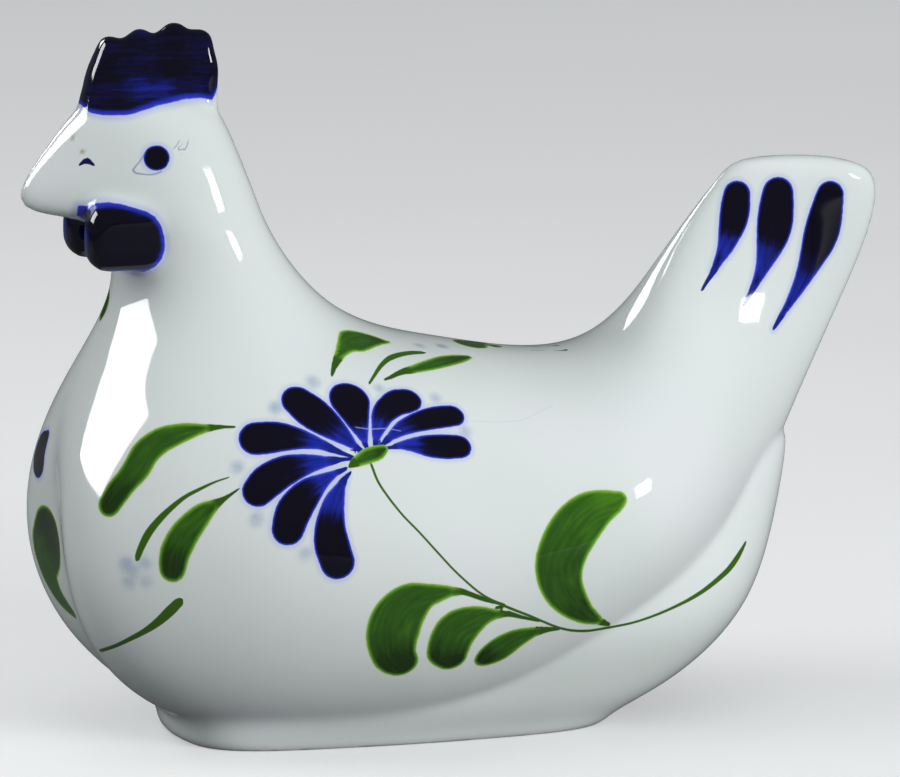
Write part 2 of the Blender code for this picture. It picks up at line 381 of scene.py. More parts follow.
for part in (rump, comb, *wattles):
    combine(hen, part, "UNION")
apply(hen, "REMESH", mode="VOXEL", voxel_size=VOXEL * MM)
apply(hen, "SMOOTH", factor=0.5, iterations=ALL_OVER_PASSES)

x, y, z = corners_of(hen).T
softer = {
    "foot_front": (between(x, 0, -30) * between(z, 2.5, 6) * between(z, 22, 12), 60),
    "wattle_tops": (between(z, 112, 118) * between(z, 126, 121) * between(abs(y), 4, 7)
                    * between(x, -90, -84), 25),
    "comb_root": (between(z, 136, 140) * between(z, 149, 144) * between(abs(y), 9, 6), 12),
    "comb_points": (between(z, 149, 153), 16),
}
for name, (weights, passes) in softer.items():
    group = hen.vertex_groups.new(name=name)
    for index in np.flatnonzero(weights > 0.01):
        group.add([int(index)], float(weights[index]), "REPLACE")
    apply(hen, "SMOOTH", factor=0.5, iterations=passes, vertex_group=name)
print("casting faces:", len(hen.data.polygons), "softened:", list(softer))

# %% [markdown]
# ## The comb's valleys
# Between its points the comb is pinched a little, so that each point stands out as a rounded
# finger, and the whole comb is thinner at the top, where the mould opened. By hand these are a
# pinch stroke and a scale with proportional editing. Here the points of the mesh are drawn towards
# the middle plane.

# %% Pinch the comb
NOTCHES = (-73.4, -66.1, -59.4)
NOTCH_WIDTH = 2.0
PINCH = 0.1
THINNING = 0.42
THIN_ABOVE = 141
THIN_OVER = 17

rows = corners_of(hen)
rows[:, 1] *= 1 - THINNING * np.clip((rows[:, 2] - THIN_ABOVE) / THIN_OVER, 0, 1) ** 2
for notch in NOTCHES:
    near = np.exp(-((rows[:, 0] - notch) / NOTCH_WIDTH) ** 2) * between(rows[:, 2], 147, 153)
    rows[:, 1] *= 1 - PINCH * near
hen.data.vertices.foreach_set("co", (rows * MM).ravel())
print("comb, mm thick above 150 mm:", round(2 * rows[rows[:, 2] > 150, 1].max(), 1))

# %% [markdown]
# ## Foot, recess and vent
# Only the foot is ground flat after the firing. It keeps a rim round a shallow recess, with the vent
# hole that lets hot air out of the hollow casting. These cuts come last, so they stay crisp.

# %% Cuts in the underside
RIM_WIDTH = 5.0
RECESS_DEPTH = 1.5
VENT = dict(radius=3.5, depth=6.0, x=-15.0)
GRINDER = 0.4

bpy.ops.mesh.primitive_cube_add(size=GRINDER, location=(0, 0, -GRINDER / 2))
combine(hen, bpy.context.object, "DIFFERENCE")

outline = level_ring(**{**RUMP[0], "z": -RECESS_DEPTH}, inset=RIM_WIDTH)
bpy.ops.object.select_all(action="DESELECT")
bpy.ops.mesh.primitive_circle_add(vertices=len(outline), radius=0.01, fill_type="NGON")
recess = bpy.context.object
for vertex, corner in zip(recess.data.vertices, outline):
    vertex.co = corner
bpy.ops.object.mode_set(mode="EDIT")
bpy.ops.mesh.extrude_region_move(TRANSFORM_OT_translate={"value": (0, 0, 2 * RECESS_DEPTH * MM)})
bpy.ops.mesh.select_all(action="SELECT")
bpy.ops.mesh.normals_make_consistent(inside=False)
bpy.ops.object.mode_set(mode="OBJECT")
combine(hen, recess, "DIFFERENCE")

bpy.ops.mesh.primitive_cylinder_add(vertices=32, radius=VENT["radius"] * MM, depth=2 * VENT["depth"] * MM,
                                    location=(VENT["x"] * MM, 0, 0))
combine(hen, bpy.context.object, "DIFFERENCE")

# %% [markdown]
# The solid stands with the middle of its length on the origin, so the skin is moved there too, in
# its mesh. Then it is shaded smooth, except at the ground rim.

# %% Set in place
skin = corners_of(hen)
shift = sum(c.x for c in solid_box) / 2 / MM - (skin[:, 0].min() + skin[:, 0].max()) / 2
skin[:, 0] += shift
hen.data.vertices.foreach_set("co", (skin * MM).ravel())
hen.data.update()
bpy.ops.object.select_all(action="DESELECT")
hen.select_set(True)
bpy.context.view_layer.objects.active = hen
bpy.ops.object.shade_smooth_by_angle(angle=math.radians(50))
print("moved by, mm:", round(shift, 2), "box, mm:", np.round([skin.min(0), skin.max(0)], 1).tolist())

# %% [markdown]
# ## Brush strokes
# The painter loads a pointed brush, sets it down and draws it off: a comma stroke, round where the
# brush lands and thin where it leaves. Each stroke is a centre line with a half width at each mark.
# The marks are named by the picture's pixels and thrown through the lens onto the glaze, so every
# stroke lies on the porcelain, and the far side gets the same spray, mirrored.

# %% Throwing pixels onto the glaze
surface = BVHTree.FromPolygons([Vector(p) * MM for p in skin], [p.vertices[:] for p in hen.data.polygons])
PIXEL = DISTANCE / FOCAL_PIXELS / MM


def on_glaze(px, py):
    """Where a pixel's line of sight meets the hen, or passes it most closely, in millimetres."""
    way = sight(px, py)
    hit = surface.ray_cast(camera.location, way)[0]
    if hit is None:
        near = camera.location + way * DISTANCE
        for _ in range(4):
            hit = surface.find_nearest(near)[0]
            near = camera.location + way * (hit - camera.location).dot(way)
    return np.array(hit) / MM


def smooth_line(marks, step=3.0):
    """Curve through marks (x, y, half width), sampled about every step pixels."""
    marks = np.array(marks, float)
    padded = np.vstack([2 * marks[0] - marks[1], marks, 2 * marks[-1] - marks[-2]])
    samples = []
    for a, b, c, d in zip(padded, padded[1:], padded[2:], padded[3:]):
        count = max(2, int(np.hypot(*(c - b)[:2]) / step))
        for t in np.arange(count) / count:
            samples.append(0.5 * (2 * b + (c - a) * t + (2 * a - 5 * b + 4 * c - d) * t * t
                                  + (3 * b - 3 * c + d - a) * t ** 3))
    return np.array([*samples, marks[-1]])


def stroke(marks, widest=1.6):
    """Centre line on the glaze with half widths, in millimetres, from pixel marks.

    Where the glaze turns away from the lens a stroke is wider than it looks, up to widest times.
    """
    line = smooth_line(marks)
    middle, radius = [], []
    for k, (px, py, half) in enumerate(line):
        ahead, behind = line[min(k + 1, len(line) - 1)], line[max(k - 1, 0)]
        way = (ahead - behind)[:2] / np.hypot(*(ahead - behind)[:2])
        aside = np.array([way[1], -way[0]]) * half
        side = on_glaze(*(line[k][:2] + aside)) - on_glaze(*(line[k][:2] - aside))
        middle.append(on_glaze(px, py))
        radius.append(min(np.linalg.norm(side) / 2, widest * half * PIXEL))
    return np.array(middle), np.array(radius)


# %% [markdown]
# ## The flower
# Nine cobalt petals fan out from a small green calyx, listed here from the lowest one round to the
# right. Neighbouring petals nearly touch, so odd and even ones go to two attributes, and the thin
# white gap between them stays open.

# %% Petals and tail feathers
PETALS = [
    [(351, 472, 1.4), (345.5, 478, 2.8), (340.5, 487, 5.3), (335, 500, 10), (331.5, 515, 13.2),
     (330.3, 530, 15.8), (332, 545, 17.8), (337.5, 562, 17.5)],
    [(347, 468, 1.6), (335, 473.5, 3.6), (321, 482, 8.4), (307, 493.5, 14.8), (294, 511, 18),
     (288, 529, 16.5)],
    [(354, 459, 1.5), (342, 459.5, 2.3), (325.5, 461.5, 5.8), (306, 464.3, 10.5), (285.5, 470.5, 15.5),
     (268, 481, 17.5), (258, 491, 16)],
    [(354, 457.5, 1.5), (340, 452.3, 2.6), (320, 444, 5.8), (300, 438.8, 10.3), (280, 436.8, 14.8),
     (268, 437.5, 16.3), (256, 438.5, 16.5)],
    [(364, 453, 1.8), (354, 445.5, 4), (343, 436, 8.3), (328, 424, 13.5), (312, 412, 16.4),
     (298, 401, 14.5)],
    [(367, 449, 1.6), (364.5, 441, 3.4), (360.5, 430, 7.6), (355, 415, 13), (349.5, 400, 18.3)],
    [(375, 449, 1.6), (376, 438.5, 4), (379, 426, 8), (384, 413, 12.2), (396, 403, 13.3), (408, 400, 11.5)],
    [(381, 445.5, 1.8), (391, 436.5, 4.6), (402, 428.5, 7.8), (418, 422, 10), (436, 417.5, 11.1),
     (452, 415.5, 10.5)],
    [(382, 448, 1.4), (391, 447.5, 1.9), (402, 445.5, 4.4), (415, 445, 7.7), (430, 446, 11),
     (445, 446.5, 12.3), (459, 446.5, 11.5)],
]
FEATHERS = [
    [(701.5, 291, 1.2), (706, 283, 1.8), (713, 272, 3), (719, 260, 5), (725, 248, 8), (729, 236, 11),
     (733, 222, 14), (735.5, 208, 15), (737, 194, 13.5)],
    [(743.5, 306, 1.4), (750, 294, 2.5), (757, 280, 4.6), (763, 266, 7.5), (767.5, 253, 11.3),
     (772, 238, 15.5), (775, 223, 18), (776.5, 208, 17.5), (778, 193, 15.5)],
    [(773.5, 329, 1.5), (785, 310, 3.4), (794, 295, 5.5), (802, 280, 8), (809, 265, 11),
     (814.5, 252, 14), (820, 238, 17), (824, 224, 17.5), (827, 210, 16), (830, 196, 14)],
]
FAR_PETAL = [(52, 424, 0.8), (48, 434, 1.5), (41, 447, 5), (38, 459, 6), (37.5, 464, 4.5)]
PUPIL = [(156, 158, 12.6), (157, 158, 12.8)]
NOSTRIL = [(79, 165.5, 0.8), (82.5, 162.8, 1.8), (86.5, 160.8, 3.2), (90.5, 162.8, 2.0), (94.5, 165.5, 0.8)]
print("petals:", len(PETALS), "feathers:", len(FEATHERS))

# %% [markdown]
# ## Leaves and stems
# The leaves are the same comma stroke in green, drawn off into the stem. Thin lines are kept apart
# from broad strokes: for them the signed place across the line is stored, which stays true even
# where a line is finer than the mesh. A lone leaf lies where the glaze turns away from the lens, so
# it comes with the most that a stroke may be wider there than it looks.

# %% Leaves, stems and small marks
LEAVES = [
    [(505, 605, 1.2), (485, 599.5, 2.2), (463, 592, 3), (450, 591.8, 5.6), (437, 593.8, 9.3),
     (424, 597, 13), (410, 604, 20), (399, 616, 24.5), (394, 628, 26.3), (392.3, 642, 25),
     (394.5, 656, 22), (400, 662, 17)],
    [(540, 621, 1.2), (522, 617.2, 1.8), (508, 613.8, 3), (496, 614.5, 5), (484, 616.5, 8.8),
     (470, 622, 14.6), (455, 633, 20), (448, 652, 19.5), (451, 657, 15.5)],
    [(560, 628.8, 1.2), (548, 629.6, 2.4), (536, 631.7, 4.4), (524, 636, 7.3), (512, 641.5, 10),
     (500, 649, 11.5), (490, 655, 9.7), (484, 658.5, 6.8)],
    [(609, 625, 1.5), (600, 621.5, 3.6), (586, 615, 10), (576.5, 607, 15), (567, 595, 19.4),
     (561, 581.5, 22), (559.8, 564, 24.3), (565.5, 546, 25), (575.5, 529, 25), (588, 515, 22.5),
     (601, 507, 17.5), (612, 503, 12.8), (619.5, 499.5, 8.5)],
    [(235, 427, 1), (220, 427, 2), (205, 428.5, 4.5), (190, 431, 8), (175, 435, 11), (160, 441, 13),
     (146, 452, 14), (137, 467, 14), (127, 480, 12.5), (118, 491, 12.5), (109.5, 504, 11.5)],
    [(240, 488, 0.8), (230, 495, 1.6), (222, 500, 3), (212, 506.5, 6.5), (203, 513, 10.5),
     (194, 522.5, 13), (184, 535, 15), (176, 550, 15.5), (173, 562, 14.5), (172.3, 569, 13.3)],
    [(331.5, 376, 1.2), (334.5, 366, 3), (339.5, 355, 5.5), (346, 346, 9), (354, 341, 10.5),
     (364, 339.5, 8.8), (374, 339.8, 6.2), (382, 341, 3.6), (389, 342, 1.6)],
    [(384, 380, 1), (392, 376.5, 1.8), (402, 372, 2.5), (415, 369, 3.8), (430, 365, 5.2), (445, 361, 6),
     (458, 358.5, 5.2), (468, 357, 2.8)],
    [(350, 466, 2.5), (358, 461, 6), (368, 456, 8), (378, 452.5, 7.5), (384, 449, 4.5)],
]
LONE_LEAVES = [
    (2.6, [(80, 620.5, 1), (74, 614, 2.2), (66, 605, 4), (58, 594, 5.5), (52, 582, 7), (47.5, 570, 8.5),
           (45, 558, 10), (45.5, 550, 12), (47.5, 543, 12.5), (48.5, 536, 12)]),
    (6.0, [(463, 345.5, 1.2), (470, 343.5, 3), (480, 342, 4.2), (492, 340.5, 4.2), (504, 339, 3.2),
           (516, 337.5, 2)]),
    (2.6, [(107, 290, 1.5), (106.5, 299, 4.5), (104, 309, 4), (101.5, 317, 1.8)]),
]
GREEN_LINES = [
    [(371, 464, 1.2), (380, 485, 1.1), (400, 512, 1), (420, 533, 1), (440, 555, 1), (457, 573, 1),
     (480, 593, 1.1), (500, 604, 1.4), (530, 616, 1.2), (560, 628, 1.1), (583, 631, 1.1),
     (606, 628, 1.1), (637, 621.5, 1.1), (670, 609, 1.3), (700, 593, 1.9), (725, 573, 2.3),
     (737, 558, 2.2), (746, 542, 0.9)],
    [(230, 477, 0.6), (215, 482, 1), (200, 489, 1.6), (185, 497, 2), (170, 509, 2.8), (158, 521, 3.4),
     (148, 534, 3.8), (141, 548, 3.4), (137, 559, 2.8)],
    [(100, 651, 1.3), (115, 646, 1.7), (130, 639, 2.2), (145, 631, 3), (158, 622, 4.2), (170, 611, 5.2),
     (180, 601, 4.6)],
    [(369, 384, 1.2), (374, 376, 1.6), (380, 367, 2), (387, 360, 2.2), (395, 356, 2.2),
     (405, 353.5, 2.2), (415, 352.5, 2.2), (424, 352.5, 1.8)],
    [(531, 343, 0.6), (540, 340, 0.9), (546, 337, 0.8)],
    [(553, 341, 0.6), (562, 340, 1.2), (572, 339, 1.0)],
]
BLUE_LINES = [
    [(146, 151, 0.5), (140, 161, 0.6), (133, 171, 0.9), (142, 174, 0.7), (153, 174.5, 0.7),
     (163, 171, 0.6)],
    [(170, 148, 0.4), (178, 150, 0.5), (185, 149, 0.4)],
    [(181, 155, 0.3), (186, 148, 0.5), (189, 139, 0.4)],
    [(172, 150, 0.3), (177, 145, 0.4), (180, 139, 0.3)],
]
SCRATCHES = [
    [(354, 427, 0.4), (370, 429, 0.5), (386, 428.5, 0.4), (401, 431, 0.3)],
    [(468, 421, 0.2), (485, 421.5, 0.3), (500, 422, 0.3), (522, 420, 0.3), (535, 414, 0.25),
     (554, 405, 0.2)],
]
DABS = [(276, 408, 7), (313, 382, 7), (237, 467, 6), (257, 520, 7), (306, 555, 7), (436, 398, 6),
        (466, 432, 6), (379, 388, 5), (518, 347, 5), (420, 346, 6), (442, 346, 6), (127, 565, 8),
        (144, 564, 7.5), (129, 583, 7), (146, 580, 7), (135, 572, 8)]
SPECKS = [(72, 139, 1.8), (83, 151, 1.8)]
print("leaves:", len(LEAVES + LONE_LEAVES), "green lines:", len(GREEN_LINES), "dabs:", len(DABS))

# %% [markdown]
# ## Distance fields
# For each point of the skin the nearest stroke is found, and four numbers are kept as a colour
# attribute: the distance past the stroke's edge, how thickly the paint lies there, and the place
# along and across the stroke, in millimetres, for the bristle streaks, which start OWN_BRISTLES
# further on in every stroke. For a thin line they are the place across, the distance from the line,
# its half width and the share of the way along.

# %% Fields of strokes
FAR = 9.0
BLOCK = 20000
OWN_BRISTLES = 40

sides_together = skin.copy()
sides_together[:, 1] = -abs(skin[:, 1])
facing = np.empty(len(skin) * 3)
hen.data.vertices.foreach_get("normal", facing)
facing = facing.reshape(-1, 3)
facing_together = facing * np.where(skin[:, 1:2] > 0, (1, -1, 1), (1, 1, 1))


def field(strokes, at, normals):
    """Distance past the nearest stroke's edge, paint thickness, mm along, mm across."""
    best = np.tile([FAR, 1.0, 0.0, 0.0], (len(at), 1))
    for number, ((middle, radius), load) in enumerate(strokes):
        low, high = middle.min(0) - radius.max() - FAR, middle.max(0) + radius.max() + FAR
        near = np.flatnonzero(((at > low) & (at < high)).all(1))
        length = np.r_[0, np.cumsum(np.linalg.norm(np.diff(middle, axis=0), axis=1))]
        way = np.gradient(middle, axis=0)
        way /= np.linalg.norm(way, axis=1)[:, None] + 1e-9
        for some in np.array_split(near, max(1, len(near) // BLOCK)):
            gap = at[some][:, None, :] - middle[None]
            edge = np.linalg.norm(gap, axis=2) - radius
            k, row = edge.argmin(1), np.arange(len(some))
            along = length[k] + (way[k] * gap[row, k]).sum(1)
            across = (np.cross(normals[some], way[k]) * gap[row, k]).sum(1)
            thick = np.interp(along / max(length[-1], MM), *zip(*load))
            found = np.c_[edge[row, k], thick, along + OWN_BRISTLES * number, across]
            closer = found[:, 0] < best[some, 0]
            best[some[closer]] = found[closer]
    return best


def thin_field(strokes, at, normals):
    """For thin lines: signed place across, distance from the line, half width, share along."""
    best = np.tile([FAR, FAR, -FAR, 0.0], (len(at), 1))
    for middle, radius in strokes:
        low, high = middle.min(0) - FAR, middle.max(0) + FAR
        near = np.flatnonzero(((at > low) & (at < high)).all(1))
        length = np.r_[0, np.cumsum(np.linalg.norm(np.diff(middle, axis=0), axis=1))]
        way = np.gradient(middle, axis=0)
        way /= np.linalg.norm(way, axis=1)[:, None] + 1e-9
        gap = at[near][:, None, :] - middle[None]
        apart = np.linalg.norm(gap, axis=2)
        k, row = apart.argmin(1), np.arange(len(near))
        side = (np.cross(normals[near], way[k]) * gap[row, k]).sum(1)
        along = length[k] + (way[k] * gap[row, k]).sum(1)
        over = np.maximum(0, -along) + np.maximum(0, along - length[-1])
        found = np.c_[side, apart[row, k], radius[k] - over, along / length[-1]]
        closer = found[:, 1] < best[near, 1]
        best[near[closer]] = found[closer]
    return best


def keep(name, values):
    """Four numbers for each point, as a float colour attribute."""
    layer = hen.data.color_attributes.new(name=name, type="FLOAT_COLOR", domain="POINT")
    layer.data.foreach_set("color", np.ascontiguousarray(values, np.float32).ravel())


def nearer(first, second):
    """Of two fields, the one whose stroke is nearer."""
    return np.where(first[:, :1] < second[:, :1], first, second)


# %% [markdown]
# ## Tips and bodies
# A stroke is cut in two where it is about as fine as the mesh: its tip is kept as a line and the
# rest as a broad stroke. How thickly the paint lies is given by the share of the way from root to
# head. A brush lands full and is drawn off nearly dry, and a little paint gathers again at the root.

# %% The paint's thickness, and every stroke kept
PETAL_LOAD = [(0, 0.6), (0.08, 0.5), (0.16, 0.42), (0.36, 0.46), (0.58, 0.9), (1, 1)]
FEATHER_LOAD = [(0, 0.95), (0.12, 0.7), (0.25, 0.46), (0.45, 0.55), (0.62, 0.95), (1, 1)]
FULL_LOAD = [(0, 1.3), (1, 1.3)]
LEAF_LOAD = [(0, 0.7), (0.35, 0.62), (0.7, 0.66), (1, 0.9)]
CURLED_LEAF_LOAD = [(0, 0.8), (0.3, 0.75), (0.7, 0.62), (1, 0.5)]
CURLED_LEAF = 3
FINE_TIP = 3.0


def first_broad(marks):
    """Number of a stroke's first mark that is broader than the mesh is fine."""
    return next(k for k, mark in enumerate(marks) if mark[2] > FINE_TIP)


def tips(strokes):
    """The drawn-off ends, which are as fine as lines and are kept as lines."""
    return [stroke(marks[:first_broad(marks) + 1]) for marks in strokes if first_broad(marks) > 0]


def bodies(strokes, load, widest=1.6):
    """The broad rest of every stroke, with the way its paint thins out."""
    return [(stroke(marks[max(0, first_broad(marks) - 1):], widest), load) for marks in strokes]


petals, feathers = bodies(PETALS, PETAL_LOAD), bodies(FEATHERS, FEATHER_LOAD)
pupil, far_petal = [(stroke(PUPIL), FULL_LOAD)], bodies([FAR_PETAL], FULL_LOAD, 3.0)
leaves = bodies(LEAVES, LEAF_LOAD)
leaves[CURLED_LEAF] = (leaves[CURLED_LEAF][0], CURLED_LEAF_LOAD)
lone = [body for widest, marks in LONE_LEAVES for body in bodies([marks], LEAF_LOAD, widest)]
keep("cobalt_odd", nearer(field(petals[0::2] + feathers + pupil, sides_together, facing_together),
                          field(far_petal, skin, facing)))
keep("cobalt_even", field(petals[1::2], sides_together, facing_together))
keep("green", nearer(field(leaves, sides_together, facing_together), field(lone, skin, facing)))

lines = {
    "odd_tips": tips(PETALS[0::2] + FEATHERS),
    "even_tips": tips(PETALS[1::2]),
    "green_tips": tips(LEAVES),
    "green_line": [stroke(m) for m in GREEN_LINES],
    "blue_line": [stroke(m) for m in BLUE_LINES],
    "nostril": [stroke(NOSTRIL)],
}
for name, strokes in lines.items():
    keep(name, thin_field(strokes, sides_together, facing_together))
keep("scratch", thin_field([stroke(m) for m in SCRATCHES], skin, facing))
strokes_kept = len(PETALS + FEATHERS + LEAVES + LONE_LEAVES) + 2
print("strokes:", strokes_kept, "lines:", len(GREEN_LINES + BLUE_LINES + SCRATCHES) + 1)

# %% [markdown]
# ## Paint on comb and wattles
# They are covered with cobalt by a broad brush. The border on the head runs where the picture shows
# it, and the wattles' colour climbs a little over the cheek.

# %% Covered parts
COMB_BORDER = [(82, 106), (90, 113), (104, 115.5), (129, 115), (145, 110), (158, 105.5), (170, 103),
               (184, 99.5), (200, 98), (213, 100)]
WATTLE_FRONT = -87.2
# How far the paint laps over a wattle's inner side and foot, mm, and the fall of the comb's border
# past its two ends
PAINT_LAP = 1.2
FOOT_LAP = 0.3
END_SLOPE = 2.0
WATTLE_BORDER = [(87, 206), (95, 203), (108, 202), (122, 204), (135, 208), (147, 211.5), (155, 216.5),
                 (161, 225), (164.5, 237), (165, 249), (162, 259), (155, 267), (144, 272), (115, 275),
                 (100, 275)]


def past_outline(at, corners):
    """Distance past a closed outline in a plane, less than nothing inside it."""
    nearest, inside = np.full(len(at), FAR), np.zeros(len(at), bool)
    for a, b in zip(corners, np.roll(corners, -1, axis=0)):
        edge = b - a
        share = np.clip(((at - a) @ edge) / (edge @ edge), 0, 1)
        nearest = np.minimum(nearest, np.linalg.norm(at - a - share[:, None] * edge, axis=1))
        spans = (a[1] > at[:, 1]) != (b[1] > at[:, 1])
        inside ^= spans & (at[:, 0] < a[0] + (at[:, 1] - a[1]) / (edge[1] if edge[1] else 1) * edge[0])
    return np.where(inside, -nearest, nearest)


border = np.array([on_glaze(px, py) for px, py in COMB_BORDER])
border = border[border[:, 0].argsort()]
outside = np.maximum(0, border[0, 0] - skin[:, 0]) + np.maximum(0, skin[:, 0] - border[-1, 0])
comb_edge = np.interp(skin[:, 0], border[:, 0], border[:, 2]) + END_SLOPE * outside - skin[:, 2]
loop = np.array([on_glaze(px, py)[[0, 2]] for px, py in WATTLE_BORDER])
loop = np.vstack([(WATTLE_FRONT, loop[0, 1]), loop, (WATTLE_FRONT, loop[-1, 1])])
loop[:, 1] = np.maximum(loop[:, 1], WATTLE_MIDDLE[1] - WATTLE_SIZE[1] / 2 - FOOT_LAP)
inner_side = WATTLE_SPREAD / 2 - WATTLE_THICK / 2 - PAINT_LAP
wattle_edge = np.maximum(past_outline(skin[:, [0, 2]], loop), inner_side - abs(skin[:, 1]))
covered = np.clip(np.minimum(comb_edge, wattle_edge), -FAR, FAR)
# The brush left less paint in a band across the comb, which shows royal blue: middle and reach, mm
BAND = dict(x=-68.0, z=144.0, long=8.0, high=2.2, loss=0.3)
HEAD_ABOVE = 130
COMB_LOAD, WATTLE_LOAD = 0.8, 0.9
from_band = ((skin[:, 2] - BAND["z"]) / BAND["high"]) ** 2 + ((skin[:, 0] - BAND["x"]) / BAND["long"]) ** 2
comb_laid = COMB_LOAD - BAND["loss"] * np.exp(-from_band)
laid = np.where(skin[:, 2] > HEAD_ABOVE, comb_laid, WATTLE_LOAD)
keep("covered", np.c_[covered, laid, skin[:, 0], skin[:, 2]])
print("covered points:", int((covered < 0).sum()))

# %% [markdown]
# ## Dabs, specks and the bare foot
# Round the petals the painter set watery blue dabs with an almost clean brush. Two specks of rust
# in the clay have come through the glaze over the beak. The ground rim, which has no glaze, is
# found by its height and by facing down.

# %% Soft spots and bare foot
def soft_spots(marks):
    """How much of a soft, flat-topped dab covers each point, from 0 to 1."""
    cover = np.zeros(len(skin))
    for px, py, half in marks:
        apart = np.linalg.norm(sides_together - on_glaze(px, py), axis=1) / (half * PIXEL)
        cover = np.maximum(cover, np.exp(-0.8 * apart ** 3))
    return cover


bare = between(skin[:, 2], 0.35, 0.05) * (facing[:, 2] < -0.5)
keep("marks", np.c_[soft_spots(DABS), soft_spots(SPECKS), bare, np.zeros(len(skin))])
print("bare points:", int((bare > 0).sum()))

# %% [markdown]
# ## The material
# Real glazed porcelain is a white body with painted oxides under a clear glass coat. The glass is
# smooth, so the reflections are sharp, and it pools a little, so they are not quite straight.
# A Principled shader with a low roughness and the IOR of a lead-free glaze is both in one.

# %% White body
GLAZE_ROUGHNESS = 0.06
GLAZE_IOR = 1.6

porcelain = bpy.data.materials.new("clear_glazed_painted_porcelain")
porcelain.use_nodes = True
nodes = porcelain.node_tree
shader = nodes.nodes["Principled BSDF"]
shader.inputs["Roughness"].default_value = GLAZE_ROUGHNESS
shader.inputs["IOR"].default_value = GLAZE_IOR
MATH, RANGE, MIX, NOISE = "ShaderNodeMath", "ShaderNodeMapRange", "ShaderNodeMix", "ShaderNodeTexNoise"
SOFT = dict(interpolation_type="SMOOTHSTEP")
EDGE_WOBBLE = 0.1

where = add(nodes, "ShaderNodeTexCoord").outputs["Object"]
# 40 mm clouds of a cooler and a greener white, 6 mm clouds for the paint, 1 mm for its edge
tone = add(nodes, NOISE, {"Vector": where, "Scale": 25.0, "Detail": 1.0}).outputs["Fac"]
cloud = add(nodes, NOISE, {"Vector": where, "Scale": 160.0, "Detail": 3.0}).outputs["Fac"]
fine = add(nodes, NOISE, {"Vector": where, "Scale": 900.0, "Detail": 2.0}).outputs["Fac"]
wobble = add(nodes, RANGE, {"Value": fine, "To Min": -EDGE_WOBBLE, "To Max": EDGE_WOBBLE}).outputs["Result"]
body = add(nodes, "ShaderNodeValToRGB", {"Fac": tone}, stops=[(0.3, "E9EEEF"), (0.7, "E1EAE7")])

# %% [markdown]
# ## Dabs, strokes and lines
# Each layer of paint is mixed over what lies under it. Cobalt is nearly black where the brush left
# it thick and royal blue where it is thin, and it bleeds a pale halo into the glaze. The green is
# a chrome and copper mix, which stays where it is put and shows the bristles.

# %% Layers of paint
COBALT = [(0.0, "6A78E2"), (0.14, "3038C8"), (0.42, "1A2A9C"), (0.66, "101040"), (0.85, "0B091C"),
          (1.0, "0A0818")]
GREEN = [(0.0, "A2CC62"), (0.18, "6FA632"), (0.38, "4C861C"), (0.62, "33601A"), (0.85, "213C10"),
         (1.0, "1A2F0C")]
STREAKS_PER_MM = 1.1
STREAK_SHAPE = 0.12
THIN_AT_EDGE = 0.12


def bled(under, name, halo, width, strength):
    """The pale halo round the paint kept in one attribute."""
    source = add(nodes, "ShaderNodeAttribute", attribute_name=name)
    distance = add(nodes, "ShaderNodeSeparateColor", {"Color": source.outputs["Color"]}).outputs[0]
    fading = {"Value": distance, "From Min": width, "From Max": 0.0, "To Max": strength}
    spread = add(nodes, RANGE, fading, **SOFT)
    return add(nodes, MIX, {0: spread.outputs[0], 6: under, 7: linear(halo)}, data_type="RGBA").outputs[2]


def painted(under, name, inks, shoulder, streak):
    """Paint kept in one attribute, over the colour under it, with its ink by its thickness.

    It thins out towards its edge over the shoulder, in millimetres. Bristle streaks are about 1 mm
    across and eight times as long, and each streak changes the thickness by up to streak.
    """
    source = add(nodes, "ShaderNodeAttribute", attribute_name=name)
    distance, load, along = add(nodes, "ShaderNodeSeparateColor", {"Color": source.outputs["Color"]}).outputs
    edge = add(nodes, MATH, {0: distance, 1: wobble}, operation="ADD").outputs[0]
    long_way = add(nodes, MATH, {0: along, 1: STREAK_SHAPE}, operation="MULTIPLY").outputs[0]
    place = add(nodes, "ShaderNodeCombineXYZ", {"X": long_way, "Y": source.outputs["Alpha"]}).outputs[0]
    bristles = add(nodes, NOISE, {"Vector": place, "Scale": STREAKS_PER_MM, "Detail": 3.0}).outputs["Fac"]
    up_and_down = {"To Min": -streak, "To Max": streak}
    uneven = add(nodes, RANGE, {"Value": bristles, "From Min": 0.25, "From Max": 0.75, **up_and_down})
    patchy = add(nodes, RANGE, {"Value": cloud, "From Min": 0.3, "From Max": 0.7, **up_and_down})
    rising = {"Value": edge, "From Min": 0.0, "From Max": -shoulder, "To Min": THIN_AT_EDGE}
    inward = add(nodes, RANGE, rising, **SOFT).outputs[0]
    thick = add(nodes, MATH, {0: load, 1: uneven.outputs[0]}, operation="ADD").outputs[0]
    thick = add(nodes, MATH, {0: patchy.outputs[0], 1: 0.5, 2: thick}, operation="MULTIPLY_ADD").outputs[0]
    thick = add(nodes, MATH, {0: thick, 1: inward}, operation="MULTIPLY", use_clamp=True).outputs[0]
    ink = add(nodes, "ShaderNodeValToRGB", {"Fac": thick}, stops=inks).outputs["Color"]
    cover = add(nodes, RANGE, {"Value": edge, "From Min": 0.12, "From Max": -0.12}, **SOFT).outputs[0]
    return add(nodes, MIX, {0: cover, 6: under, 7: ink}, data_type="RGBA").outputs[2]


